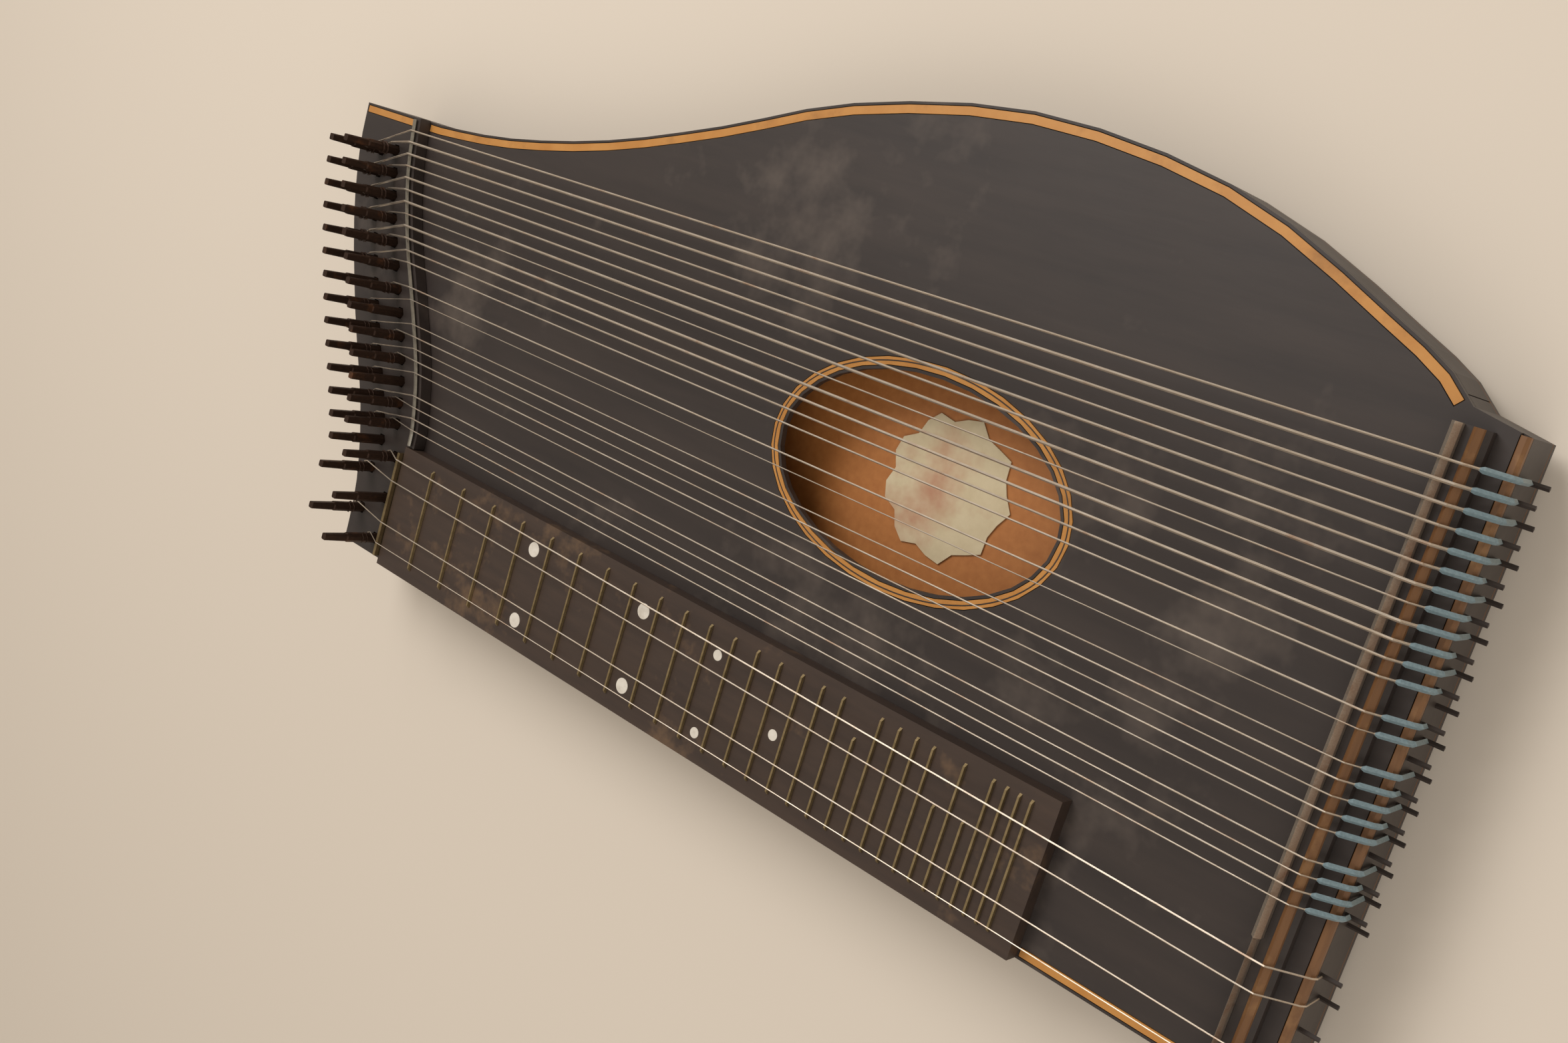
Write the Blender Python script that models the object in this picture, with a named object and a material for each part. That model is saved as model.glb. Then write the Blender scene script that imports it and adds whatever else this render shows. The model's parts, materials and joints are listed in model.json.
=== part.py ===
# Concert zither lying on its back. The strings run along X, from the tuning
# pins at the tail (-X) to the hitch pins at the end (+X). The player sits on
# the -Y side, and the body swells out towards +Y.
# Metres, +Z up. Everything is laid out from a working datum: x = 0 at the
# melody nut, y = 0 at the player's edge, z = 0 at the floor. One empty then
# centres the whole instrument over its own outline.

import math

import bmesh
import bpy
from mathutils import Vector

# Clearances
GLUE_GAP = 0.0003          # between wooden pieces that are glued or lie together
INLAY_GAP = 0.0003         # round an inlay in its groove or pocket
REST_GAP = 0.0002          # under a string where it bears on a nut or ridge
STRING_GAP = 0.0003        # between a pin's shank and the fixed end of its string
COIL_BITE = 0.4            # share of a wound wire's radius that is bedded in the pin
TURN_GAP = 0.0012          # between the fixed string and the first moving turn

# Body, seen from above
SCALE_LENGTH = 0.430       # melody nut to melody bridge
BODY_WIDTH = 0.2635        # player's edge to the crest of the swell
TAIL_WIDTH = 0.200         # player's edge to the straight far edge by the pins
SHOULDER_WIDTH = 0.2125    # width at the bridge line
END_WIDTH = 0.209          # width at the hitch end
END_OVERHANG = 0.017       # bridge line to the end face
TAIL_REACH_FAR = 0.0985    # nut line to the tail, at the far edge
TAIL_REACH_NEAR = 0.036    # nut line to the tail, at the player's edge
SWELL_START = 0.040        # where the far edge leaves the straight, before the nut
# Shares of the swell's length and rise, from the tail to the bridge line. The
# first and last pairs only steer the curve.
SWELL_SHAPE = [(-0.05, 0.0), (0.0, 0.0), (0.106, 0.06), (0.234, 0.236), (0.362, 0.512),
               (0.489, 0.827), (0.649, 1.0), (0.809, 0.869), (0.936, 0.488)]
SWELL_STEPS = 3            # straight pieces between two of those pairs
# Shares of the tail's width and of its change in reach
TAIL_SHAPE = [(-0.1, -0.01), (0.0, 0.0), (0.115, 0.024), (0.275, 0.16), (0.485, 0.456),
              (0.685, 0.792), (0.855, 0.968), (1.0, 1.0), (1.1, 1.0)]
TAIL_STEPS = 3

# Body, in height
FOOT_HEIGHT = 0.008
FOOT_RADIUS = 0.007
BACK_THICKNESS = 0.003
RIB_HEIGHT = 0.023
RIB_THICKNESS = 0.003
TOP_THICKNESS = 0.0026
LINING_WIDTH = 0.005
LINING_HEIGHT = 0.006
HITCH_BLOCK_WIDTH = 0.020
TOP_LEDGE = 0.012          # shelf of the pin block that carries the soundboard
TOP_BRACE_PLACES = (0.095, 0.175, 0.350)
TOP_BRACE_WIDTH = 0.007
TOP_BRACE_HEIGHT = 0.009
BACK_BRACE_PLACES = (0.060, 0.155, 0.385)
BACK_BRACE_WIDTH = 0.009
BACK_BRACE_HEIGHT = 0.007
BRACE_TIP_HEIGHT = 0.003
BRACE_TAPER = 0.022
FOOT_PLACES = ((-0.046, 0.110), (0.418, 0.024), (0.418, 0.186))

# Sound hole and purfling
HOLE_CENTRE = (0.2627, 0.133)
HOLE_HALF_LENGTH = 0.0610
HOLE_HALF_WIDTH = 0.0366
HOLE_SIDES = 32
HOLE_LIP = 0.0011          # black edge left between the hole and its purfling
PURFLE_SETBACK = 0.0009    # black edge left outside the purfling
PURFLE_WIDTH = 0.00295     # two pale lines with a dark one between
PURFLE_DEPTH = 0.0010

# Fretboard
FRETBOARD_SETBACK = 0.0006
FRETBOARD_WIDTH = 0.0569
FRETBOARD_END = 0.359
FRETBOARD_THICKNESS = 0.0065
FRET_COUNT = 29
FRET_INSET = 0.0064        # fretboard edge to where a fret's top begins
FRET_SPAN = 0.0454
FRET_END_SLOPE = 0.0026
FRET_CROWN_WIDTH = 0.0015
FRET_CROWN_TOP = 0.0008
FRET_HEIGHT = 0.0010
FRET_TANG_DEPTH = 0.0015
SHORT_FRETS = {18: 0.034, 23: 0.027, 25: 0.0275}   # fret number to the length of its top
NUT_PLATE_THICKNESS = 0.0016
NUT_PLATE_RISE = 0.0008    # top of the melody nut above the frets
NUT_PLATE_MARGIN = 0.0035  # fretboard edge to each end of the melody nut

# Accompaniment nut, an S-shaped bar that carries a rod
NUT_REACH_FAR = 0.0505     # nut line to the rod at the far edge
NUT_FOOT_X = 0.0025
# Shares of the nut's run across the body and of its change in reach
NUT_SHAPE = [(-0.1, -0.03), (0.0, 0.0), (0.176, 0.085), (0.373, 0.292), (0.563, 0.575),
             (0.754, 0.84), (0.923, 0.981), (1.0, 1.0), (1.1, 1.01)]
NUT_STEPS = 3
NUT_BAR_WIDTH = 0.005
NUT_BAR_HEIGHT = 0.0056
NUT_ROD_RADIUS = 0.0009

# Bridge end
BRIDGE_BASE_WIDTH = 0.0102
BRIDGE_BASE_FRONT = 0.0017  # base in front of the bridge line
BRIDGE_BASE_HEIGHT = 0.006
BEARING_HEIGHT = 0.0113     # top of the front ridge above the soundboard
REAR_BEARING_HEIGHT = 0.0108
RIDGE_WIDTH = 0.0030
RIDGE_ROOF = 0.0024
REAR_RIDGE_OFFSET = 0.0058
BRIDGE_END_MARGIN = 0.0015
MELODY_BRIDGE_SPAN = 0.050
MELODY_BRIDGE_THICKNESS = 0.0016
RAIL_WIDTH = 0.0027
RAIL_RISE = 0.0004
RAIL_CHAMFER = 0.0010
HITCH_PIN_RADIUS = 0.0008
HITCH_PIN_REACH = 0.0065
HITCH_PIN_DEPTH = 0.009
HITCH_PIN_DROPS = (0.0055, 0.0125)   # the two rows, below the soundboard's face

# Strings. Places count from the one next to the fretboard outwards.
MELODY_COUNT = 5
MELODY_FIRST_NUT = 0.0103
MELODY_PITCH_NUT = 0.0101
MELODY_FIRST_BRIDGE = 0.0085
MELODY_PITCH_BRIDGE = 0.0090
BASS_COUNT = 27
BASS_FIRST_NUT = 0.0614
BASS_PITCH_NUT = 0.00492
BASS_WIDEN_NUT = 0.0000068   # growth of the spacing from string to string
BASS_FIRST_BRIDGE = 0.0596
BASS_PITCH_BRIDGE = 0.0047
BASS_WIDEN_BRIDGE = 0.0000227
# Diameters in string order; None is a place whose string is gone
MELODY_GAUGES = (0.0004, 0.00055, None, 0.0006, 0.0007)
BASS_GAUGES = (None, 0.0005, 0.0006, 0.0005, 0.0006, None, 0.0005, 0.0006, 0.0005,
               0.0006, 0.0005, None, 0.0004, 0.0007, None, 0.0007, 0.0008, 0.0010,
               0.0011, 0.0006, 0.0011, 0.0009, 0.0010, 0.0008, 0.0010, 0.0011, 0.0008)
SILK_RADIUS = 0.0010
SILK_START = 0.0105          # bridge line to where the silk begins
SILK_TAPER = 0.1             # share of the last slope over which it swells

# Tuning pins
PIN_RADIUS = 0.0023
PIN_SIDES = 8
PIN_DEPTH = 0.015
PIN_SHANK_RISE = 0.016
PIN_RISE = 0.028
PIN_HEAD_HALF = 0.0017
PIN_HEAD_CORNER = 0.0012
PIN_HEAD_TAPER = 0.88
PIN_HOLE_GAP = 0.0003
PIN_HOLE_SIDES = 6
OUTER_ROW_INSET = 0.0178     # tail edge to the outer row
INNER_ROW_SETBACK = 0.021    # accompaniment nut to the inner row
OUTER_DROP = (0.0089, 0.0133)   # string at the nut to its outer pin: first, last string
INNER_DROP = (0.0033, 0.0062)
MELODY_INNER_X = 0.0142      # melody nut back to the inner melody pins
MELODY_OUTER_X = 0.0292
MELODY_DROP = 0.0025
WRAP_HEIGHT = 0.0032         # where the string reaches its pin, above the block
WRAP_TURN = 135.0            # degrees that the fixed string lies round its pin
COIL_TURNS = 1.5
COIL_PITCH = 0.0023
COIL_POINTS = 8
COIL_START = 20.0            # degrees between the string's end and its coil

# Paper cut-out pasted on the back, seen through the sound hole:
# centre x, centre y, radius, depth of the scallops, scallops
PAPER_SHAPE = (0.262, 0.131, 0.026, 0.08, 9)
PAPER_THICKNESS = 0.0004
PAPER_SIDES = 28

# Heights that follow from the sizes above
Z_BACK = FOOT_HEIGHT + GLUE_GAP
Z_RIB = Z_BACK + BACK_THICKNESS + GLUE_GAP
Z_RIB_TOP = Z_RIB + RIB_HEIGHT
Z_TOP_UNDER = Z_RIB_TOP + GLUE_GAP
Z_TOP = Z_TOP_UNDER + TOP_THICKNESS
Z_BOARD = Z_TOP + GLUE_GAP + FRETBOARD_THICKNESS
Z_FRETS = Z_BOARD + INLAY_GAP + FRET_HEIGHT
END_X = SCALE_LENGTH + END_OVERHANG
PURFLE_GROOVE = PURFLE_WIDTH + 2 * INLAY_GAP
HITCH_BLOCK_X = END_X - HITCH_BLOCK_WIDTH
RAIL_X = END_X - RAIL_WIDTH
REAR_RIDGE_X = SCALE_LENGTH + REAR_RIDGE_OFFSET

root = None


def clear_scene():
    for obj in list(bpy.data.objects):
        bpy.data.objects.remove(obj, do_unlink=True)


def make_material(name, colour, roughness, metallic=0.0):
    material = bpy.data.materials.new(name)
    material.use_nodes = True
    shader = material.node_tree.nodes["Principled BSDF"]
    shader.inputs["Base Color"].default_value = (*colour, 1.0)
    shader.inputs["Roughness"].default_value = roughness
    shader.inputs["Metallic"].default_value = metallic
    return material


def place(name, data, material, location=(0.0, 0.0, 0.0), smooth=None):
    obj = bpy.data.objects.new(name, data)
    bpy.context.scene.collection.objects.link(obj)
    obj.parent = root
    obj.location = location
    if material is not None:
        data.materials.append(material)
    if smooth is not None and isinstance(data, bpy.types.Mesh):
        data.shade_smooth()
        data.set_sharp_from_angle(angle=math.radians(smooth))
    return obj


def mesh_from(bm, name):
    bmesh.ops.recalc_face_normals(bm, faces=bm.faces)
    mesh = bpy.data.meshes.new(name)
    bm.to_mesh(mesh)
    bm.free()
    return mesh


def combine(target, other, name, operation):
    # A wire shape stays in the scene and is cut from a piece, or joined to it
    helper = place(name, other, None)
    helper.location = target.location
    helper.hide_render = True
    helper.display_type = "WIRE"
    modifier = target.modifiers.new(name, "BOOLEAN")
    modifier.operation = operation
    modifier.solver = "EXACT"
    modifier.object = helper


def cut_with(target, bm, name):
    combine(target, mesh_from(bm, name), name, "DIFFERENCE")


def join_to(target, bm, name):
    combine(target, mesh_from(bm, name), name, "UNION")


def add_prism(bm, outline, low, high):
    # Extrudes a flat outline of (x, y) points from low to high
    verts = [bm.verts.new((p[0], p[1], low)) for p in outline]
    base = bm.faces.new(verts)
    grown = bmesh.ops.extrude_face_region(bm, geom=[base])["geom"]
    lifted = [item for item in grown if isinstance(item, bmesh.types.BMVert)]
    bmesh.ops.translate(bm, verts=lifted, vec=(0.0, 0.0, high - low))


def add_bar(bm, profile, low, high):
    # Extrudes an (x, z) profile along Y from low to high
    verts = [bm.verts.new((p[0], low, p[1])) for p in profile]
    base = bm.faces.new(verts)
    grown = bmesh.ops.extrude_face_region(bm, geom=[base])["geom"]
    moved = [item for item in grown if isinstance(item, bmesh.types.BMVert)]
    bmesh.ops.translate(bm, verts=moved, vec=(0.0, high - low, 0.0))


def add_box(bm, low, high):
    add_prism(bm, [(low[0], low[1]), (high[0], low[1]), (high[0], high[1]),
                   (low[0], high[1])], low[2], high[2])


def add_loft(bm, rings):
    # Joins rings of equal point counts and closes both ends
    loops = [[bm.verts.new(point) for point in ring] for ring in rings]
    for lower, upper in zip(loops, loops[1:]):
        for i in range(len(lower)):
            j = (i + 1) % len(lower)
            bm.faces.new((lower[i], lower[j], upper[j], upper[i]))
    bm.faces.new(list(reversed(loops[0])))
    bm.faces.new(loops[-1])


def circle(centre, radius, sides, turn=0.0):
    return [(centre[0] + radius * math.cos(turn + 2 * math.pi * i / sides),
             centre[1] + radius * math.sin(turn + 2 * math.pi * i / sides))
            for i in range(sides)]


def ellipse(grow, sides):
    return [(HOLE_CENTRE[0] + (HOLE_HALF_LENGTH + grow) * math.cos(2 * math.pi * i / sides),
             HOLE_CENTRE[1] + (HOLE_HALF_WIDTH + grow) * math.sin(2 * math.pi * i / sides))
            for i in range(sides)]


def ring_between(bm, inner, outer, low, high):
    # A closed ring of rectangular section between two outlines of equal counts
    count = len(inner)
    corners = []
    for i in range(count):
        corners.append([bm.verts.new((*inner[i], low)), bm.verts.new((*outer[i], low)),
                        bm.verts.new((*outer[i], high)), bm.verts.new((*inner[i], high))])
    for i in range(count):
        here = corners[i]
        there = corners[(i + 1) % count]
        for k in range(4):
            m = (k + 1) % 4
            bm.faces.new((here[k], here[m], there[m], there[k]))


def smooth_through(points, steps):
    # A curve through the inner points; the first and last only steer it
    line = []
    for i in range(1, len(points) - 2):
        a, b, c, d = (Vector(points[k]) for k in range(i - 1, i + 3))
        for s in range(steps):
            t = s / steps
            line.append(0.5 * (2 * b + (c - a) * t + (2 * a - 5 * b + 4 * c - d) * t ** 2
                               + (3 * b - a - 3 * c + d) * t ** 3))
    line.append(Vector(points[-2]))
    return line


def offset_line(line, distance):
    # Moves an open line sideways, to the right of its direction
    moved = []
    for i, point in enumerate(line):
        before = line[max(i - 1, 0)]
        after = line[min(i + 1, len(line) - 1)]
        run = (Vector(after) - Vector(before)).normalized()
        moved.append(Vector(point) + distance * Vector((run.y, -run.x)))
    return moved


def value_at(line, place_at, axis):
    # The other coordinate where the line crosses place_at on the given axis
    other = 1 - axis
    for a, b in zip(line, line[1:]):
        low, high = sorted((a[axis], b[axis]))
        if low <= place_at <= high and high > low:
            share = (place_at - a[axis]) / (b[axis] - a[axis])
            return a[other] + share * (b[other] - a[other])
    nearest = min(line, key=lambda p: abs(p[axis] - place_at))
    return nearest[other]


def clip_line(line, low, high, axis):
    # The part of a line between two places on an axis, with exact ends
    kept = [Vector(p) for p in line if low < p[axis] < high]
    ends = []
    for limit in (low, high):
        point = [0.0, 0.0]
        point[axis] = limit
        point[1 - axis] = value_at(line, limit, axis)
        ends.append(Vector(point))
    if line[0][axis] > line[-1][axis]:
        ends.reverse()
    return [ends[0]] + kept + [ends[1]]


def swell_line():
    # Far edge from the straight by the pins to the bridge line, in rising x
    length = SCALE_LENGTH + SWELL_START
    rise = BODY_WIDTH - TAIL_WIDTH
    points = [(-SWELL_START + u * length, TAIL_WIDTH + v * rise) for u, v in SWELL_SHAPE]
    points.append((SCALE_LENGTH, SHOULDER_WIDTH))
    points.append((SCALE_LENGTH + 0.05 * length, SHOULDER_WIDTH - 0.6 * rise))
    return smooth_through(points, SWELL_STEPS)


def tail_line():
    # Tail from the far edge to the player's edge
    change = TAIL_REACH_FAR - TAIL_REACH_NEAR
    points = [(-TAIL_REACH_FAR + v * change, TAIL_WIDTH * (1 - u)) for u, v in TAIL_SHAPE]
    return smooth_through(points, TAIL_STEPS)


def nut_foot_y():
    return FRETBOARD_SETBACK + FRETBOARD_WIDTH + GLUE_GAP


def nut_line():
    # Rod of the accompaniment nut, from the far edge down to the fretboard
    run = TAIL_WIDTH - nut_foot_y()
    change = NUT_REACH_FAR + NUT_FOOT_X
    points = [(-NUT_REACH_FAR + v * change, TAIL_WIDTH - u * run) for u, v in NUT_SHAPE]
    return smooth_through(points, NUT_STEPS)


def shoulder_y(x):
    # Far edge between the bridge line and the end face
    share = (x - SCALE_LENGTH) / END_OVERHANG
    return SHOULDER_WIDTH + share * (END_WIDTH - SHOULDER_WIDTH)


def seam_line(shift):
    # Where the soundboard meets the pin block, from the player's edge upwards
    line = [Vector((NUT_FOOT_X + shift, 0.0))]
    line += [Vector((p.x + shift, p.y)) for p in reversed(nut_line())]
    return line


def body_outline():
    outline = [(END_X, 0.0), (END_X, END_WIDTH)]
    outline += [tuple(p) for p in reversed(swell_line())]
    outline += [tuple(p) for p in tail_line()]
    return outline


def fret_x(number):
    return SCALE_LENGTH * (1 - 2 ** (-number / 12))


def melody_y(index, at_bridge):
    if at_bridge:
        return MELODY_FIRST_BRIDGE + index * MELODY_PITCH_BRIDGE
    return MELODY_FIRST_NUT + index * MELODY_PITCH_NUT


def bass_y(index, at_bridge):
    if at_bridge:
        return (BASS_FIRST_BRIDGE + index * BASS_PITCH_BRIDGE
                + index ** 2 * BASS_WIDEN_BRIDGE)
    return BASS_FIRST_NUT + index * BASS_PITCH_NUT + index ** 2 * BASS_WIDEN_NUT


def pin_places():
    # Tuning pins in string order: melody strings first, then the open strings
    places = []
    for i in range(MELODY_COUNT):
        back = MELODY_INNER_X if i % 2 == 0 else MELODY_OUTER_X
        places.append((-back, melody_y(i, False) - MELODY_DROP))
    tail = tail_line()
    nut = nut_line()
    for i in range(BASS_COUNT):
        share = i / (BASS_COUNT - 1)
        drops = OUTER_DROP if i % 2 == 0 else INNER_DROP
        y = bass_y(i, False) - (drops[0] + share * (drops[1] - drops[0]))
        if i % 2 == 0:
            x = value_at(tail, y, 1) + OUTER_ROW_INSET
        else:
            x = value_at(nut, y, 1) - INNER_ROW_SETBACK
        places.append((x, y))
    return places


def gauges():
    return MELODY_GAUGES + BASS_GAUGES


def nut_point(index, radius):
    # Where a string bears on its nut
    if index < MELODY_COUNT:
        height = Z_FRETS + NUT_PLATE_RISE + REST_GAP + radius
        return Vector((-0.5 * NUT_PLATE_THICKNESS, melody_y(index, False), height))
    y = bass_y(index - MELODY_COUNT, False)
    height = nut_rod_height() + NUT_ROD_RADIUS + REST_GAP + radius
    return Vector((value_at(nut_line(), y, 1), y, height))


def nut_rod_height():
    return Z_TOP + GLUE_GAP + NUT_BAR_HEIGHT + REST_GAP + NUT_ROD_RADIUS


def bridge_y(index):
    if index < MELODY_COUNT:
        return melody_y(index, True)
    return bass_y(index - MELODY_COUNT, True)


def wrap_radius(radius):
    return PIN_RADIUS + STRING_GAP + radius


def wrap_angle(pin, nut, radius):
    # Angle on the pin where the string from the nut meets it, on the far side
    reach = Vector((nut.x - pin[0], nut.y - pin[1]))
    return math.atan2(reach.y, reach.x) + math.acos(wrap_radius(radius) / reach.length)


def string_path(index):
    # From round its pin, over the nut and both ridges of the bridge
    radius = gauges()[index] / 2
    pin = pin_places()[index]
    nut = nut_point(index, radius)
    meet = wrap_angle(pin, nut, radius)
    around = wrap_radius(radius)
    steps = 3
    path = []
    for s in range(steps, -1, -1):
        angle = meet + math.radians(WRAP_TURN) * s / steps
        path.append(Vector((pin[0] + around * math.cos(angle),
                            pin[1] + around * math.sin(angle), Z_TOP + WRAP_HEIGHT)))
    path.append(nut)
    y = bridge_y(index)
    path.append(Vector((SCALE_LENGTH, y, Z_TOP + BEARING_HEIGHT)))
    path.append(Vector((REAR_RIDGE_X, y, Z_TOP + REAR_BEARING_HEIGHT + REST_GAP + radius)))
    return path


def end_path(index, radius):
    # Over the end rail and down the end face to the hitch pin
    y = bridge_y(index)
    rail = Z_TOP + RAIL_RISE + REST_GAP + radius
    face = END_X + GLUE_GAP + radius
    stop = hitch_height(index) + HITCH_PIN_RADIUS + GLUE_GAP
    return [Vector((END_X - 0.3 * RAIL_CHAMFER, y, rail + 0.4 * RAIL_CHAMFER)),
            Vector((face, y, Z_TOP - 0.6 * RAIL_CHAMFER)), Vector((face, y, stop))]


def hitch_height(index):
    return Z_TOP - HITCH_PIN_DROPS[index % 2]


def coil_points(index):
    # Helix round the pin, in the pin's own frame
    radius = gauges()[index] / 2
    pin = pin_places()[index]
    start = wrap_angle(pin, nut_point(index, radius), radius)
    start += math.radians(WRAP_TURN + COIL_START)
    low = WRAP_HEIGHT + 2 * radius + TURN_GAP
    around = PIN_RADIUS + (1 - COIL_BITE) * radius
    count = round(COIL_TURNS * COIL_POINTS)
    points = []
    for i in range(count + 1):
        turns = i / COIL_POINTS
        angle = start + 2 * math.pi * turns
        points.append(Vector((around * math.cos(angle), around * math.sin(angle),
                              low + COIL_PITCH * turns)))
    return points


def least_gap(points, diameter, points_per_turn):
    gaps = [(a - b).length - diameter for i, a in enumerate(points)
            for b in points[i + points_per_turn // 2:]]
    return min(gaps)


def tube_data(name, paths, radii, resolution):
    # One curve with a spline for each path; each point has its own radius
    curve = bpy.data.curves.new(name, "CURVE")
    curve.dimensions = "3D"
    curve.bevel_depth = max(max(sizes) for sizes in radii)
    curve.bevel_resolution = resolution
    curve.use_fill_caps = True
    for path, sizes in zip(paths, radii):
        spline = curve.splines.new("POLY")
        spline.points.add(len(path) - 1)
        for point, spot, radius in zip(spline.points, path, sizes):
            point.co = (*spot, 1.0)
            point.radius = radius / curve.bevel_depth
    return curve


def add_tube(bm, path, sizes, resolution):
    # Bakes a single tube into a mesh that is being built
    helper = bpy.data.objects.new("tube_helper",
                                  tube_data("tube_helper", [path], [sizes], resolution))
    bpy.context.scene.collection.objects.link(helper)
    graph = bpy.context.evaluated_depsgraph_get()
    mesh = bpy.data.meshes.new_from_object(helper.evaluated_get(graph))
    bm.from_mesh(mesh)
    bmesh.ops.remove_doubles(bm, verts=bm.verts, dist=1e-6)
    bpy.data.meshes.remove(mesh)
    curve = helper.data
    bpy.data.objects.remove(helper, do_unlink=True)
    bpy.data.curves.remove(curve)


def add_strip(bm, line, near, far, low, high):
    # A strip that follows a line, between two distances to its right
    outline = [tuple(p) for p in offset_line(line, near)]
    outline += [tuple(p) for p in reversed(offset_line(line, far))]
    add_prism(bm, outline, low, high)


def edge_runs():
    # Stretches of the body's edge that carry purfling, each with the body on
    # the right: past the pins, along the swell, and by the player's edge
    half = 0.5 * NUT_BAR_WIDTH
    nut_top = -NUT_REACH_FAR
    bridge_front = SCALE_LENGTH - BRIDGE_BASE_FRONT - GLUE_GAP
    tail = [Vector((-TAIL_REACH_FAR + PURFLE_SETBACK, TAIL_WIDTH)),
            Vector((nut_top - half - GLUE_GAP, TAIL_WIDTH))]
    swell = [Vector((nut_top + half + GLUE_GAP, TAIL_WIDTH))]
    swell += clip_line(swell_line(), -SWELL_START, bridge_front, 0)
    near = [Vector((bridge_front, 0.0)), Vector((FRETBOARD_END + GLUE_GAP, 0.0))]
    return {"tail": tail, "swell": swell, "near": near}


def cut_grooves(target, names):
    bm = bmesh.new()
    runs = edge_runs()
    for name in names:
        add_strip(bm, runs[name], PURFLE_SETBACK, PURFLE_SETBACK + PURFLE_GROOVE,
                  Z_TOP - PURFLE_DEPTH - INLAY_GAP, Z_TOP + PURFLE_DEPTH)
    cut_with(target, bm, target.name + "_groove")


def make_purfling(material):
    first = PURFLE_SETBACK + INLAY_GAP
    for name, line in edge_runs().items():
        inner = [Vector(p) for p in line]
        run = (inner[1] - inner[0]).normalized()
        inner[0] = inner[0] + run * INLAY_GAP
        run = (inner[-1] - inner[-2]).normalized()
        inner[-1] = inner[-1] - run * INLAY_GAP
        bm = bmesh.new()
        add_strip(bm, inner, first, first + PURFLE_WIDTH, Z_TOP - PURFLE_DEPTH, Z_TOP)
        place(name + "_purfling", mesh_from(bm, name + "_purfling"), material)
    bm = bmesh.new()
    first = HOLE_LIP + INLAY_GAP
    ring_between(bm, ellipse(first, HOLE_SIDES), ellipse(first + PURFLE_WIDTH, HOLE_SIDES),
                 Z_TOP - PURFLE_DEPTH, Z_TOP)
    place("soundhole_purfling", mesh_from(bm, "soundhole_purfling"), material)


def make_soundboard(material):
    right = RAIL_X - GLUE_GAP
    outline = [(NUT_FOOT_X, 0.0), (right, 0.0), (right, shoulder_y(right))]
    outline += [tuple(p) for p in reversed(swell_line())]
    outline += [tuple(p) for p in nut_line()]
    bm = bmesh.new()
    add_prism(bm, outline, Z_TOP_UNDER, Z_TOP)
    board = place("soundboard", mesh_from(bm, "soundboard"), material)
    bm = bmesh.new()
    add_prism(bm, ellipse(0.0, HOLE_SIDES), Z_TOP_UNDER - TOP_THICKNESS,
              Z_TOP + TOP_THICKNESS)
    cut_with(board, bm, "soundhole_cutter")
    bm = bmesh.new()
    ring_between(bm, ellipse(HOLE_LIP, HOLE_SIDES),
                 ellipse(HOLE_LIP + PURFLE_GROOVE, HOLE_SIDES),
                 Z_TOP - PURFLE_DEPTH - INLAY_GAP, Z_TOP + PURFLE_DEPTH)
    cut_with(board, bm, "soundhole_groove")
    cut_grooves(board, ("swell", "near"))


def make_pin_block(material):
    # A hardwood block under the pins, with a shelf that takes the soundboard
    outline = [tuple(p) for p in seam_line(TOP_LEDGE)]
    outline += [tuple(p) for p in tail_line()]
    bm = bmesh.new()
    add_prism(bm, outline, Z_RIB, Z_TOP)
    block = place("pin_block", mesh_from(bm, "pin_block"), material)

    bm = bmesh.new()
    shelf = seam_line(-GLUE_GAP)
    shelf.insert(0, Vector((shelf[0].x, -TOP_LEDGE)))
    shelf.append(Vector((shelf[-1].x, TAIL_WIDTH + TOP_LEDGE)))
    outer = [(SCALE_LENGTH, TAIL_WIDTH + TOP_LEDGE), (SCALE_LENGTH, -TOP_LEDGE)]
    add_prism(bm, [tuple(p) for p in shelf] + outer, Z_RIB_TOP, Z_TOP + TOP_THICKNESS)
    cut_with(block, bm, "pin_block_shelf")

    bm = bmesh.new()
    reach = (PIN_RADIUS + PIN_HOLE_GAP) / math.cos(math.pi / PIN_HOLE_SIDES)
    for spot in pin_places():
        add_prism(bm, circle(spot, reach, PIN_HOLE_SIDES),
                  Z_TOP - PIN_DEPTH - PIN_HOLE_GAP, Z_TOP + PIN_DEPTH)
    cut_with(block, bm, "pin_holes")
    cut_grooves(block, ("tail",))


def make_sides(material):
    bm = bmesh.new()
    start = NUT_FOOT_X + TOP_LEDGE + GLUE_GAP
    stop = HITCH_BLOCK_X - GLUE_GAP
    add_box(bm, (start, 0.0, Z_RIB), (stop, RIB_THICKNESS, Z_RIB_TOP))
    place("player_side_rib", mesh_from(bm, "player_side_rib"), material)
    bm = bmesh.new()
    add_strip(bm, far_side(), 0.0, RIB_THICKNESS, Z_RIB, Z_RIB_TOP)
    place("swell_side_rib", mesh_from(bm, "swell_side_rib"), material)


def far_side():
    start = -NUT_REACH_FAR + TOP_LEDGE + GLUE_GAP
    straight = [Vector((-TAIL_REACH_FAR, TAIL_WIDTH))] + swell_line()
    return clip_line(straight, start, HITCH_BLOCK_X - GLUE_GAP, 0)


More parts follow.
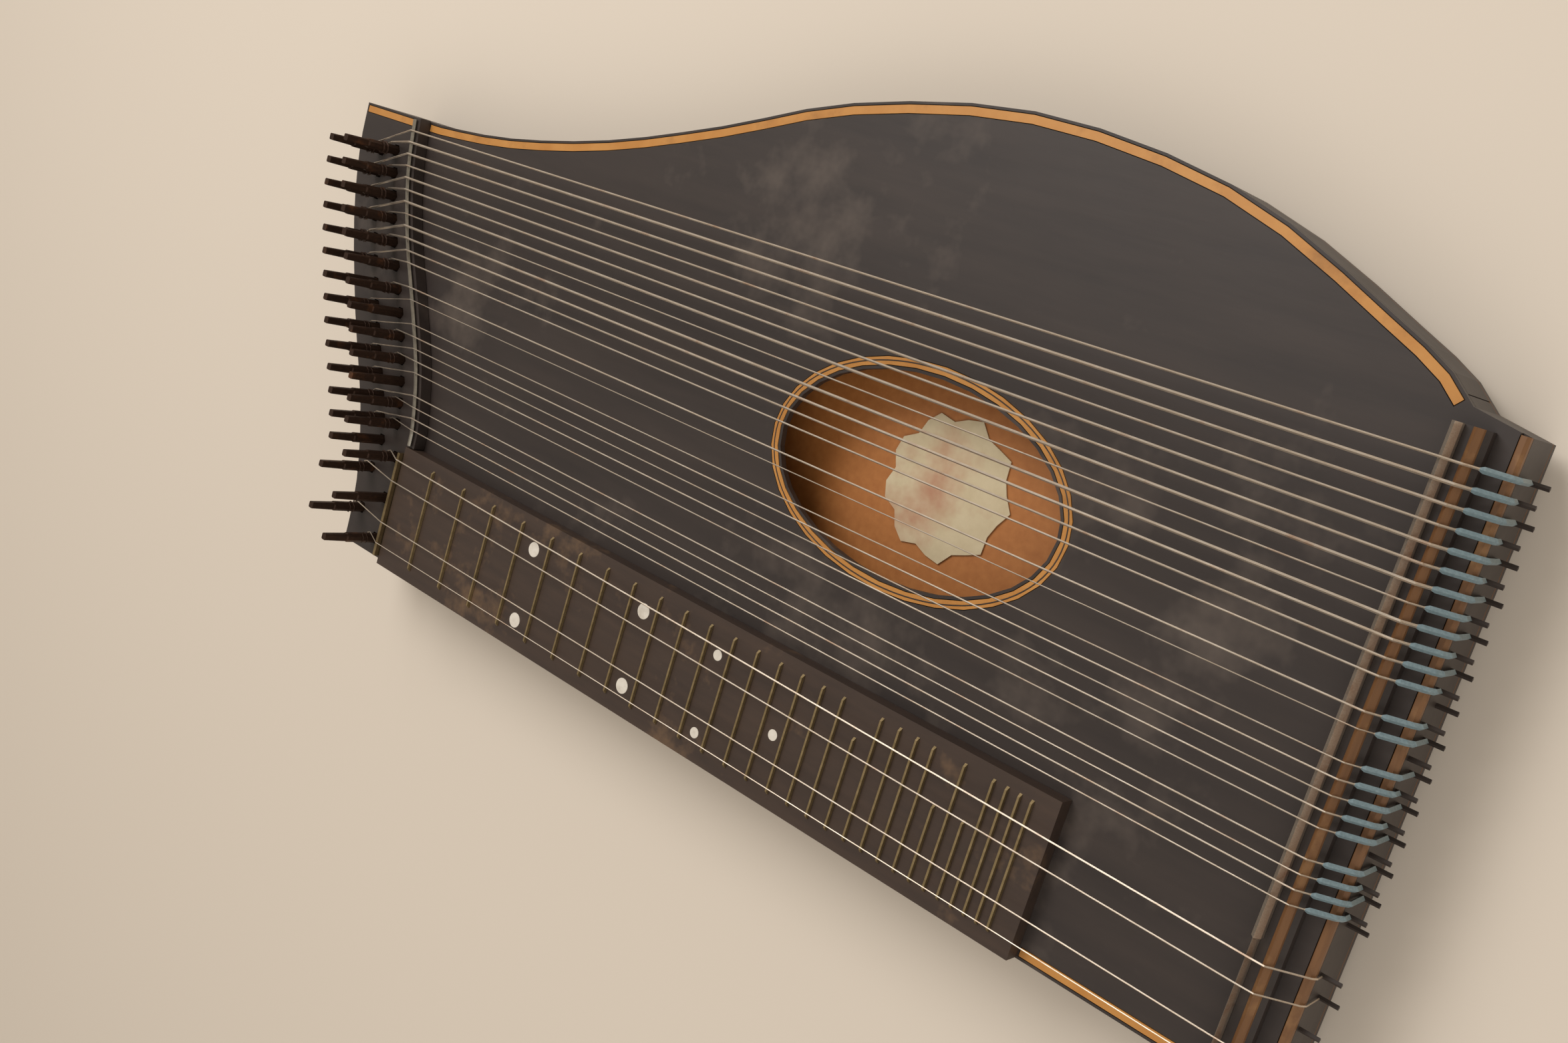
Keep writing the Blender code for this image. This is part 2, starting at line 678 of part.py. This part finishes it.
def make_linings(material):
    # Strips glued inside the ribs, which widen the joint with the soundboard
    near = RIB_THICKNESS + GLUE_GAP
    low = Z_RIB_TOP - LINING_HEIGHT
    start = NUT_FOOT_X + TOP_LEDGE + GLUE_GAP
    bm = bmesh.new()
    add_box(bm, (start, near, low), (HITCH_BLOCK_X - GLUE_GAP, near + LINING_WIDTH, Z_RIB_TOP))
    place("player_side_lining", mesh_from(bm, "player_side_lining"), material)
    bm = bmesh.new()
    line = clip_line(far_side(), 0.0, HITCH_BLOCK_X - LINING_WIDTH, 0)
    add_strip(bm, line, near, near + LINING_WIDTH, low, Z_RIB_TOP)
    place("swell_side_lining", mesh_from(bm, "swell_side_lining"), material)


def add_brace(bm, x, width, height, level, down, inset):
    # A bar across the body whose ends taper; down is -1 under the soundboard
    far = offset_line(far_side(), inset)
    y_low = inset
    y_high = min(value_at(far, x - width / 2, 0), value_at(far, x + width / 2, 0))
    tip = level + down * BRACE_TIP_HEIGHT
    full = level + down * height
    profile = [(y_low, level), (y_low, tip), (y_low + BRACE_TAPER, full),
               (y_high - BRACE_TAPER, full), (y_high, tip), (y_high, level)]
    verts = [bm.verts.new((x - width / 2, y, z)) for y, z in profile]
    grown = bmesh.ops.extrude_face_region(bm, geom=[bm.faces.new(verts)])["geom"]
    moved = [item for item in grown if isinstance(item, bmesh.types.BMVert)]
    bmesh.ops.translate(bm, verts=moved, vec=(width, 0.0, 0.0))


def make_braces(material):
    inset = RIB_THICKNESS + LINING_WIDTH + 2 * GLUE_GAP
    for i, x in enumerate(TOP_BRACE_PLACES):
        bm = bmesh.new()
        add_brace(bm, x, TOP_BRACE_WIDTH, TOP_BRACE_HEIGHT, Z_RIB_TOP, -1, inset)
        place(f"soundboard_brace_{i + 1}", mesh_from(bm, "soundboard_brace"), material)
    for i, x in enumerate(BACK_BRACE_PLACES):
        bm = bmesh.new()
        add_brace(bm, x, BACK_BRACE_WIDTH, BACK_BRACE_HEIGHT, Z_RIB, 1,
                  RIB_THICKNESS + GLUE_GAP)
        place(f"back_brace_{i + 1}", mesh_from(bm, "back_brace"), material)


def make_hitch_block(material):
    bm = bmesh.new()
    outline = [(HITCH_BLOCK_X, 0.0), (END_X, 0.0), (END_X, END_WIDTH),
               (SCALE_LENGTH, SHOULDER_WIDTH),
               (HITCH_BLOCK_X, value_at(swell_line(), HITCH_BLOCK_X, 0))]
    add_prism(bm, outline, Z_RIB, Z_RIB_TOP)
    block = place("hitch_block", mesh_from(bm, "hitch_block"), material)
    bm = bmesh.new()
    for i in range(MELODY_COUNT + BASS_COUNT):
        rings = []
        for x in (END_X - HITCH_PIN_DEPTH, END_X + HITCH_PIN_REACH):
            rings.append([(x, y, z) for y, z in circle((bridge_y(i), hitch_height(i)),
                                                       HITCH_PIN_RADIUS, 4)])
        add_loft(bm, rings)
    join_to(block, bm, "hitch_pins")


def make_end_rail(material):
    high = Z_TOP + RAIL_RISE
    profile = [(RAIL_X, Z_TOP_UNDER), (END_X, Z_TOP_UNDER), (END_X, high - RAIL_CHAMFER),
               (END_X - RAIL_CHAMFER, high), (RAIL_X + 0.5 * RAIL_RISE, high),
               (RAIL_X, high - 0.5 * RAIL_RISE)]
    bm = bmesh.new()
    add_bar(bm, profile, 0.0, END_WIDTH)
    place("end_rail", mesh_from(bm, "end_rail"), material)


def add_ridge(bm, x, width, low, high, start, stop):
    # A bar with a peaked top
    profile = [(x - width / 2, low), (x + width / 2, low),
               (x + width / 2, high - RIDGE_ROOF), (x, high),
               (x - width / 2, high - RIDGE_ROOF)]
    add_bar(bm, profile, start, stop)


def make_bridge(wood, brown, brass):
    front = SCALE_LENGTH - BRIDGE_BASE_FRONT
    low = Z_TOP + GLUE_GAP
    high = low + BRIDGE_BASE_HEIGHT
    near = BRIDGE_END_MARGIN
    far = END_WIDTH - BRIDGE_END_MARGIN
    profile = [(front, low), (front + BRIDGE_BASE_WIDTH, low),
               (front + BRIDGE_BASE_WIDTH, high - RIDGE_ROOF),
               (front + BRIDGE_BASE_WIDTH - RIDGE_ROOF, high), (front, high)]
    bm = bmesh.new()
    add_bar(bm, profile, near, far)
    place("bridge_base", mesh_from(bm, "bridge_base"), wood)

    # Each front ridge is one piece with the strings that press into it
    low = high + GLUE_GAP
    bm = bmesh.new()
    add_ridge(bm, SCALE_LENGTH, RIDGE_WIDTH, low, Z_TOP + BEARING_HEIGHT,
              MELODY_BRIDGE_SPAN + GLUE_GAP, far)
    ridge = place("accompaniment_strings", mesh_from(bm, "accompaniment_strings"), brown)
    join_to(ridge, strings_shape(range(MELODY_COUNT, MELODY_COUNT + BASS_COUNT)),
            "accompaniment_string_shapes")
    bm = bmesh.new()
    add_ridge(bm, REAR_RIDGE_X, RIDGE_WIDTH, low, Z_TOP + REAR_BEARING_HEIGHT, near, far)
    place("bridge_rear_ridge", mesh_from(bm, "bridge_rear_ridge"), brown)
    bm = bmesh.new()
    add_ridge(bm, SCALE_LENGTH, MELODY_BRIDGE_THICKNESS, low, Z_TOP + BEARING_HEIGHT,
              near, MELODY_BRIDGE_SPAN)
    ridge = place("melody_strings", mesh_from(bm, "melody_strings"), brass)
    join_to(ridge, strings_shape(range(MELODY_COUNT)), "melody_string_shapes")


def make_nuts(ebony, rod_metal, brass):
    nut = nut_line()
    bm = bmesh.new()
    half = NUT_BAR_WIDTH / 2
    add_strip(bm, nut, -half, half, Z_TOP + GLUE_GAP, Z_TOP + GLUE_GAP + NUT_BAR_HEIGHT)
    place("accompaniment_nut_bar", mesh_from(bm, "accompaniment_nut_bar"), ebony)

    rod = clip_line(nut, nut_foot_y() + NUT_ROD_RADIUS, TAIL_WIDTH - NUT_ROD_RADIUS, 1)
    path = [Vector((p.x, p.y, nut_rod_height())) for p in rod]
    sizes = [NUT_ROD_RADIUS] * len(path)
    data = tube_data("accompaniment_nut_rod", [path], [sizes], 1)
    place("accompaniment_nut_rod", data, rod_metal)

    bm = bmesh.new()
    low = FRETBOARD_SETBACK + NUT_PLATE_MARGIN
    high = FRETBOARD_SETBACK + FRETBOARD_WIDTH - NUT_PLATE_MARGIN
    add_box(bm, (-NUT_PLATE_THICKNESS, low, Z_TOP + GLUE_GAP),
            (0.0, high, Z_FRETS + NUT_PLATE_RISE))
    place("melody_nut", mesh_from(bm, "melody_nut"), brass)


def fret_profile(number):
    # Points of a fret's section: x, z, and how far its ends stand out
    x = fret_x(number)
    tang = Z_BOARD - FRET_TANG_DEPTH
    half = FRET_CROWN_WIDTH / 2
    top = FRET_CROWN_TOP / 2
    return [(x - half, tang, FRET_END_SLOPE), (x + half, tang, FRET_END_SLOPE),
            (x + top, Z_FRETS, 0.0), (x - top, Z_FRETS, 0.0)]


def make_fretboard(wood):
    # The frets are pressed into the board and stay with it as one piece
    bm = bmesh.new()
    add_box(bm, (GLUE_GAP, FRETBOARD_SETBACK, Z_TOP + GLUE_GAP),
            (FRETBOARD_END, FRETBOARD_SETBACK + FRETBOARD_WIDTH, Z_BOARD))
    board = place("fretboard", mesh_from(bm, "fretboard"), wood)
    bm = bmesh.new()
    start = FRETBOARD_SETBACK + FRET_INSET
    for number in range(1, FRET_COUNT + 1):
        stop = start + SHORT_FRETS.get(number, FRET_SPAN)
        ends = []
        for y, way in ((start, -1), (stop, 1)):
            ends.append([(x, y + way * out, z) for x, z, out in fret_profile(number)])
        add_loft(bm, ends)
    join_to(board, bm, "frets")


def pin_head():
    # Square with small flats at its corners
    corners = []
    for quarter in range(4):
        turn = math.pi / 2 * quarter
        for x, y in ((PIN_HEAD_HALF, PIN_HEAD_CORNER), (PIN_HEAD_CORNER, PIN_HEAD_HALF)):
            corners.append((x * math.cos(turn) - y * math.sin(turn),
                            x * math.sin(turn) + y * math.cos(turn)))
    return corners


def make_pins(material):
    smallest = []
    shank = circle((0.0, 0.0), PIN_RADIUS, PIN_SIDES, math.pi / PIN_SIDES)
    corners = pin_head()
    shoulder = PIN_SHANK_RISE + PIN_RADIUS - PIN_HEAD_HALF
    for i, spot in enumerate(pin_places()):
        rings = [[(x, y, -PIN_DEPTH) for x, y in shank],
                 [(x, y, PIN_SHANK_RISE) for x, y in shank],
                 [(x, y, shoulder) for x, y in corners],
                 [(x * PIN_HEAD_TAPER, y * PIN_HEAD_TAPER, PIN_RISE) for x, y in corners]]
        bm = bmesh.new()
        add_loft(bm, rings)
        name = f"tuning_pin_{i + 1:02d}"
        pin = place(name, mesh_from(bm, name), material, (spot[0], spot[1], Z_TOP))
        if gauges()[i] is not None:
            coil = coil_points(i)
            smallest.append(least_gap(coil, gauges()[i], COIL_POINTS))
            bm = bmesh.new()
            add_tube(bm, coil, [gauges()[i] / 2] * len(coil), 0)
            join_to(pin, bm, name + "_coil")
    print(f"Least gap between turns of a coil: {min(smallest) * 1000:.2f} mm")


def strings_shape(numbers):
    # Strings from their pins to their hitch pins; the open ones end in silk
    bm = bmesh.new()
    for i in numbers:
        gauge = gauges()[i]
        if gauge is None:
            continue
        path = string_path(i)
        if i < MELODY_COUNT:
            ending = end_path(i, gauge / 2)
            sizes = [gauge / 2] * (len(path) + len(ending))
        else:
            ending = end_path(i, SILK_RADIUS)
            run = ending[0] - path[-1]
            share = (SCALE_LENGTH + SILK_START - REAR_RIDGE_X) / run.x
            bearing = path[-1]
            path.append(bearing + run * (share - SILK_TAPER))
            sizes = [gauge / 2] * len(path) + [SILK_RADIUS] * (len(ending) + 1)
            path.append(bearing + run * share)
        add_tube(bm, path + ending, sizes, 0)
    return bm


def make_back_and_feet(material):
    bm = bmesh.new()
    add_prism(bm, body_outline(), Z_BACK, Z_BACK + BACK_THICKNESS)
    back = place("back_board", mesh_from(bm, "back_board"), material)
    bm = bmesh.new()
    for x, y in FOOT_PLACES:
        rings = []
        for share, height in ((0.55, 0.0), (0.95, 0.2), (1.0, 0.55), (0.62, 0.85), (0.75, 1.1)):
            rings.append([(px, py, height * FOOT_HEIGHT)
                          for px, py in circle((x, y), share * FOOT_RADIUS, 12)])
        add_loft(bm, rings)
    join_to(back, bm, "feet")


def make_paper(material):
    bm = bmesh.new()
    x, y, radius, depth, count = PAPER_SHAPE
    outline = []
    for i in range(PAPER_SIDES):
        angle = 2 * math.pi * i / PAPER_SIDES
        reach = radius * (1 + depth * math.cos(count * angle))
        outline.append((x + reach * math.cos(angle), y + reach * math.sin(angle)))
    add_prism(bm, outline, Z_RIB, Z_RIB + PAPER_THICKNESS)
    place("paper_cutout", mesh_from(bm, "paper_cutout"), material)


def make_root():
    outline = body_outline()
    x_low = min(p[0] for p in outline)
    x_high = END_X + HITCH_PIN_REACH
    y_low = min(p[1] for p in outline)
    y_high = max(p[1] for p in outline)
    empty = bpy.data.objects.new("zither_centre", None)
    empty.location = (-(x_low + x_high) / 2, -(y_low + y_high) / 2, 0.0)
    bpy.context.scene.collection.objects.link(empty)
    return empty


def main():
    global root
    clear_scene()
    root = make_root()
    black = make_material("black_lacquered_wood", (0.022, 0.017, 0.015), 0.45)
    pine = make_material("bare_pine", (0.52, 0.30, 0.13), 0.6)
    fret_wood = make_material("worn_fretboard_wood", (0.045, 0.026, 0.016), 0.55)
    brown = make_material("brown_hardwood", (0.17, 0.075, 0.03), 0.5)
    maple = make_material("honey_maple_line", (0.55, 0.25, 0.06), 0.4)
    brass = make_material("old_brass", (0.42, 0.33, 0.17), 0.4, 1.0)
    steel = make_material("rusty_pin_steel", (0.03, 0.02, 0.016), 0.55, 0.7)
    string_steel = make_material("string_steel", (0.55, 0.50, 0.44), 0.35, 1.0)
    paper = make_material("paper", (0.72, 0.60, 0.42), 0.85)

    make_back_and_feet(black)
    make_pin_block(black)
    make_hitch_block(black)
    make_sides(black)
    make_linings(pine)
    make_braces(pine)
    make_soundboard(black)
    make_purfling(maple)
    make_fretboard(fret_wood)
    make_nuts(black, string_steel, brass)
    make_bridge(black, brown, brass)
    make_end_rail(brown)
    make_pins(steel)
    make_paper(paper)


main()
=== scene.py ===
# A concert zither lying on a pale floor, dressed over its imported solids.
import json
import math

import bpy
from mathutils import Matrix, Vector


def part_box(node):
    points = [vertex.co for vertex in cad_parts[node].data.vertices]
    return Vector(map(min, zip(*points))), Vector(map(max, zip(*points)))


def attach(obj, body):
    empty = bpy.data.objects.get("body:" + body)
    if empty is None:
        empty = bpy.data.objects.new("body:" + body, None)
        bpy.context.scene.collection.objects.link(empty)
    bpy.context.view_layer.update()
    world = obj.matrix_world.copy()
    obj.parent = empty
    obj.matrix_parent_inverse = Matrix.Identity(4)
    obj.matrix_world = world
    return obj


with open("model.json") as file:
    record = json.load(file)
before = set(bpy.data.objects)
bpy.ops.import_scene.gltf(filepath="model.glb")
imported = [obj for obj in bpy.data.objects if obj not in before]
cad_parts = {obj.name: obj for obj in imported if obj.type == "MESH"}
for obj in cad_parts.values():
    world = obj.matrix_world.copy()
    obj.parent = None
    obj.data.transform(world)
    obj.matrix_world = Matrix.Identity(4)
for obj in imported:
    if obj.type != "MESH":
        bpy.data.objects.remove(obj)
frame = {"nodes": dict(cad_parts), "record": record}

# Settings of each kind of material: sRGB colours, roughness, metallic value,
# the size of its pattern in millimetres, how that is drawn out along the
# grain, and the strength of its bump

# Black lacquer over softwood, dull with age, with dusty patches
lacquer = {"low": "#241d1b", "high": "#40352f", "dust": "#6b5e54", "roughness": 0.48,
           "metallic": 0.0, "grain": 9.0, "stretch": (0.12, 1.0, 1.0), "bump": 0.12}
# Dark hardwood, rubbed brown in patches
wornFretboard = {"low": "#2c211c", "high": "#4a382c", "dust": "#8a6a4a", "roughness": 0.5,
                 "metallic": 0.0, "grain": 5.0, "stretch": (0.15, 1.0, 1.0), "bump": 0.15}
# Brown hardwood with its grain across the body
brownWood = {"low": "#5a3a22", "high": "#8a6038", "dust": "#a98052", "roughness": 0.5,
             "metallic": 0.0, "grain": 3.0, "stretch": (1.0, 0.12, 1.0), "bump": 0.15}
# Bare softwood with long orange grain
pineWood = {"low": "#a8642f", "high": "#c98447", "dust": "#d9a468", "roughness": 0.65,
            "metallic": 0.0, "grain": 3.0, "stretch": (0.08, 1.0, 1.0), "bump": 0.1}
# Varnished maple lines
honeyMaple = {"low": "#b0702c", "high": "#cf9650", "dust": "#7a4c20", "roughness": 0.4,
              "metallic": 0.0, "grain": 4.0, "stretch": (0.3, 0.3, 1.0), "bump": 0.05}
# Brass dulled by handling
oldBrass = {"low": "#7d6d4c", "high": "#b8a17a", "dust": "#5a4a32", "roughness": 0.38,
            "metallic": 1.0, "grain": 2.0, "stretch": (1.0, 1.0, 1.0), "bump": 0.06}
# Steel pitted by brown rust, drawn coarser than real rust so that it shows
rustySteel = {"low": "#21160f", "high": "#4a3122", "dust": "#7a4c2c", "roughness": 0.6,
              "metallic": 0.6, "grain": 1.2, "stretch": (1.0, 1.0, 0.6), "bump": 0.3}
# Steel and wound strings, bright with rusty stretches
stringMetal = {"low": "#b49a7c", "high": "#e4dcd0", "dust": "#a0683c", "roughness": 0.35,
               "metallic": 0.8, "grain": 1.5, "stretch": (0.2, 3.0, 3.0), "bump": 0.08}
# Drawn rod of grey metal
rodMetal = {"low": "#8d877c", "high": "#bdb6a8", "dust": "#6b5a44", "roughness": 0.35,
            "metallic": 1.0, "grain": 2.0, "stretch": (1.0, 1.0, 1.0), "bump": 0.05}
# Yellowed paper with faded red blotches
agedPaper = {"low": "#c9b48e", "high": "#e6d6b4", "dust": "#b0563c", "roughness": 0.85,
             "metallic": 0.0, "grain": 7.0, "stretch": (1.0, 1.0, 1.0), "bump": 0.05}
# Mother of pearl, smooth and pale
pearlShell = {"low": "#cfc4b4", "high": "#eee6da", "dust": "#a99c8a", "roughness": 0.25,
              "metallic": 0.0, "grain": 2.0, "stretch": (1.0, 1.0, 1.0), "bump": 0.02}
# Blue-grey silk wound over the strings' ends
blueSilk = {"low": "#5c7078", "high": "#8fa3a8", "metallic": 0.0, "grain": 0.8}

# Where one node is made of two things: the axis, and the place on it past
# which the second one shows. The frets stand out of the fretboard, the back is bare
# inside, and the open strings end in silk.
secondLooks = {"fretboard": (2, 0.0444, oldBrass), "back_board": (2, 0.01129, pineWood),
               "accompaniment_strings": (0, 0.2622, blueSilk)}

# The record's slot to the material that dresses it
slotSettings = {"black_wood": lacquer, "fretboard_wood": wornFretboard,
                "brown_wood": brownWood, "pine": pineWood, "purfling": honeyMaple,
                "brass": oldBrass, "pin_steel": rustySteel, "strings": stringMetal,
                "nut_rod": rodMetal, "paper": agedPaper}

# The playing board: scale length, nut line and lower row of the frets' tops
scaleLength = 0.430
nutX = -0.1775
fretRowY = -0.12475
dotRows = {5: (0.0054, 0.0374), 9: (0.0054, 0.0374), 12: (0.0045, 0.0366), 15: (0.0200,)}
dotRadius = {5: 0.0032, 9: 0.0032, 12: 0.00215, 15: 0.00215}
dotThickness = 0.0003
dotSides = 40
dotBevel = 0.0001
fretboardThickness = 0.0065

# Dark line in the sound hole's purfling: half its width, how far it stands
# proud, and how far inside the purfling's outer edge it runs
holeLine = {"halfWidth": 0.00025, "rise": 0.0002, "inset": 0.0014,
            "segments": 96, "sides": 6}
unitTube = 0.004           # tube of the unit ring that the line is shaped from

# The photograph's camera
camera = {"place": (0.373189, 0.076945, 0.481153), "lens": 35.0,
          "right": (0.72850, 0.28758, -0.62176), "up": (-0.34425, 0.93838, 0.03068),
          "back": (0.59227, 0.19169, 0.78261)}
clipStart = 0.01
sensorWidth = 36.0

# A broad window light from the far side, a soft fill, and the room round them
lamps = {"key": {"place": (-0.5, 0.9, 1.3), "size": 0.9, "power": 16.0},
         "fill": {"place": (1.0, -0.7, 1.2), "size": 1.4, "power": 7.0}}
room = {"colour": "#e6ddd0", "strength": 0.55}
floorLook = {"colour": "#ddd0c0", "size": 6.0, "roughness": 0.8}


def linearColour(text):
    channels = [int(text[i:i + 2], 16) / 255 for i in (1, 3, 5)]
    return tuple(c / 12.92 if c <= 0.04045 else ((c + 0.055) / 1.055) ** 2.4
                 for c in channels) + (1.0,)


def addNode(tree, kind, settings=None, links=None):
    node = tree.nodes.new(kind)
    for key, value in (settings or {}).items():
        if key in node.inputs.keys():
            node.inputs[key].default_value = value
        else:
            setattr(node, key, value)
    for key, source in (links or {}).items():
        tree.links.new(source, node.inputs[key])
    return node


def makeMaterial(name, look):
    # Two tones along the grain, wear in large patches, and a fine bump
    material = bpy.data.materials.new(name)
    material.use_nodes = True
    tree = material.node_tree
    shader = tree.nodes["Principled BSDF"]
    place = addNode(tree, "ShaderNodeTexCoord")
    grain = addNode(tree, "ShaderNodeMapping", {"Scale": look["stretch"]},
                    {"Vector": place.outputs["Object"]})
    lines = addNode(tree, "ShaderNodeTexNoise",
                    {"Scale": 1000 / look["grain"], "Detail": 6.0, "Roughness": 0.6},
                    {"Vector": grain.outputs["Vector"]})
    patches = addNode(tree, "ShaderNodeTexNoise",
                      {"Scale": 140 / look["grain"], "Detail": 5.0, "Roughness": 0.65},
                      {"Vector": place.outputs["Object"]})
    tone = addNode(tree, "ShaderNodeMix", {"data_type": "RGBA"})
    tree.links.new(lines.outputs["Fac"], tone.inputs["Factor"])
    tone.inputs[6].default_value = linearColour(look["low"])
    tone.inputs[7].default_value = linearColour(look["high"])
    wear = addNode(tree, "ShaderNodeMapRange",
                   {"From Min": 0.56, "From Max": 0.75, "To Min": 0.0, "To Max": 0.6},
                   {"Value": patches.outputs["Fac"]})
    worn = addNode(tree, "ShaderNodeMix", {"data_type": "RGBA"})
    tree.links.new(wear.outputs["Result"], worn.inputs["Factor"])
    tree.links.new(tone.outputs[2], worn.inputs[6])
    worn.inputs[7].default_value = linearColour(look["dust"])
    tree.links.new(worn.outputs[2], shader.inputs["Base Color"])
    rough = addNode(tree, "ShaderNodeMapRange",
                    {"To Min": look["roughness"] - 0.08, "To Max": look["roughness"] + 0.14},
                    {"Value": patches.outputs["Fac"]})
    tree.links.new(rough.outputs["Result"], shader.inputs["Roughness"])
    shader.inputs["Metallic"].default_value = look["metallic"]
    bump = addNode(tree, "ShaderNodeBump", {"Strength": look["bump"], "Distance": 0.0004},
                   {"Height": lines.outputs["Fac"]})
    tree.links.new(bump.outputs["Normal"], shader.inputs["Normal"])
    return material


def paintPast(material, axis, limit, look):
    # Beyond a place on an axis the surface takes another look's colours
    tree = material.node_tree
    shader = tree.nodes["Principled BSDF"]
    first = shader.inputs["Base Color"].links[0].from_socket
    place = addNode(tree, "ShaderNodeTexCoord")
    split = addNode(tree, "ShaderNodeSeparateXYZ", {}, {"Vector": place.outputs["Object"]})
    past = addNode(tree, "ShaderNodeMath", {"operation": "GREATER_THAN"})
    tree.links.new(split.outputs[axis], past.inputs[0])
    past.inputs[1].default_value = limit
    lines = addNode(tree, "ShaderNodeTexNoise", {"Scale": 1000 / look["grain"], "Detail": 5.0},
                    {"Vector": place.outputs["Object"]})
    tone = addNode(tree, "ShaderNodeMix", {"data_type": "RGBA"})
    tree.links.new(lines.outputs["Fac"], tone.inputs["Factor"])
    tone.inputs[6].default_value = linearColour(look["low"])
    tone.inputs[7].default_value = linearColour(look["high"])
    both = addNode(tree, "ShaderNodeMix", {"data_type": "RGBA"})
    tree.links.new(past.outputs["Value"], both.inputs["Factor"])
    tree.links.new(first, both.inputs[6])
    tree.links.new(tone.outputs[2], both.inputs[7])
    tree.links.new(both.outputs[2], shader.inputs["Base Color"])
    metal = addNode(tree, "ShaderNodeMapRange", {"To Max": look["metallic"]},
                    {"Value": past.outputs["Value"]})
    metal.inputs["To Min"].default_value = shader.inputs["Metallic"].default_value
    tree.links.new(metal.outputs["Result"], shader.inputs["Metallic"])


def dressNodes():
    materials = {slot: makeMaterial(slot, look) for slot, look in slotSettings.items()}
    for entry in frame["record"]["subparts"]:
        node = frame["nodes"][entry["node"]]
        node.data.materials.clear()
        node.data.materials.append(materials[entry["material_slot"]])
    for name, (axis, limit, look) in secondLooks.items():
        data = frame["nodes"][name].data
        data.materials[0] = data.materials[0].copy()
        data.materials[0].name = name + "_look"
        paintPast(data.materials[0], axis, limit, look)
    return materials


def fretX(number):
    return nutX + scaleLength * (1 - 2 ** (-number / 12))


def addDots(material):
    # Thin discs that lie on the board, between the frets
    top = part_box("fretboard")[0][2] + fretboardThickness
    for number, rows in dotRows.items():
        for count, row in enumerate(rows):
            x = 0.5 * (fretX(number - 1) + fretX(number))
            bpy.ops.object.select_all(action="DESELECT")
            bpy.ops.mesh.primitive_cylinder_add(
                vertices=dotSides, radius=dotRadius[number], depth=dotThickness,
                location=(x, fretRowY + row, top))
            dot = bpy.context.object
            dot.name = f"position_dot_{number}_{count + 1}"
            bevel = dot.modifiers.new("edge", "BEVEL")
            bevel.width = dotBevel
            bpy.ops.object.modifier_apply(modifier="edge")
            bpy.ops.object.transform_apply(location=True, rotation=True, scale=True)
            dot.data.materials.append(material)
            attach(dot, "body")


def addHoleLine(material):
    # The dark line between the two pale ones round the sound hole
    low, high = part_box("soundhole_purfling")
    centre = ((low[0] + high[0]) / 2, (low[1] + high[1]) / 2, high[2])
    halves = ((high[0] - low[0]) / 2 - holeLine["inset"],
              (high[1] - low[1]) / 2 - holeLine["inset"])
    bpy.ops.object.select_all(action="DESELECT")
    bpy.ops.mesh.primitive_torus_add(major_segments=holeLine["segments"],
                                     minor_segments=holeLine["sides"],
                                     major_radius=1.0, minor_radius=unitTube,
                                     location=centre)
    ring = bpy.context.object
    ring.name = "soundhole_dark_line"
    for vertex in ring.data.vertices:
        angle = math.atan2(vertex.co.y, vertex.co.x)
        across = math.hypot(vertex.co.x, vertex.co.y) - 1.0
        spread = across * holeLine["halfWidth"] / unitTube
        vertex.co = Vector(((halves[0] + spread) * math.cos(angle),
                            (halves[1] + spread) * math.sin(angle),
                            vertex.co.z * holeLine["rise"] / unitTube))
    bpy.ops.object.transform_apply(location=True, rotation=True, scale=True)
    ring.data.materials.append(material)
    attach(ring, "body")


def addFloor():
    bpy.ops.mesh.primitive_plane_add(size=floorLook["size"], location=(0.0, 0.0, 0.0))
    floor = bpy.context.object
    floor.name = "floor"
    material = bpy.data.materials.new("pale_floor")
    material.use_nodes = True
    shader = material.node_tree.nodes["Principled BSDF"]
    shader.inputs["Base Color"].default_value = linearColour(floorLook["colour"])
    shader.inputs["Roughness"].default_value = floorLook["roughness"]
    floor.data.materials.append(material)


def addLights():
    for name, settings in lamps.items():
        data = bpy.data.lights.new(name, "AREA")
        data.size = settings["size"]
        data.energy = settings["power"]
        lamp = bpy.data.objects.new(name, data)
        bpy.context.scene.collection.objects.link(lamp)
        lamp.location = settings["place"]
        aim = -Vector(settings["place"])
        lamp.rotation_euler = aim.to_track_quat("-Z", "Y").to_euler()
    world = bpy.data.worlds.new("room")
    bpy.context.scene.world = world
    world.use_nodes = True
    sky = world.node_tree.nodes["Background"]
    sky.inputs["Color"].default_value = linearColour(room["colour"])
    sky.inputs["Strength"].default_value = room["strength"]


def addCamera():
    data = bpy.data.cameras.new("camera")
    data.lens = camera["lens"]
    data.sensor_width = sensorWidth
    data.clip_start = clipStart
    eye = bpy.data.objects.new("camera", data)
    bpy.context.scene.collection.objects.link(eye)
    axes = Matrix((camera["right"], camera["up"], camera["back"])).transposed().to_4x4()
    eye.matrix_world = Matrix.Translation(camera["place"]) @ axes
    bpy.context.scene.camera = eye


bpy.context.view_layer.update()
addCamera()
print("camera placed")
dressed = dressNodes()
print("solids dressed")
addDots(makeMaterial("pearl", pearlShell))
addHoleLine(dressed["black_wood"])
print("inlays added")
addFloor()
addLights()
bpy.context.scene.view_settings.view_transform = "Standard"
print("stage set")
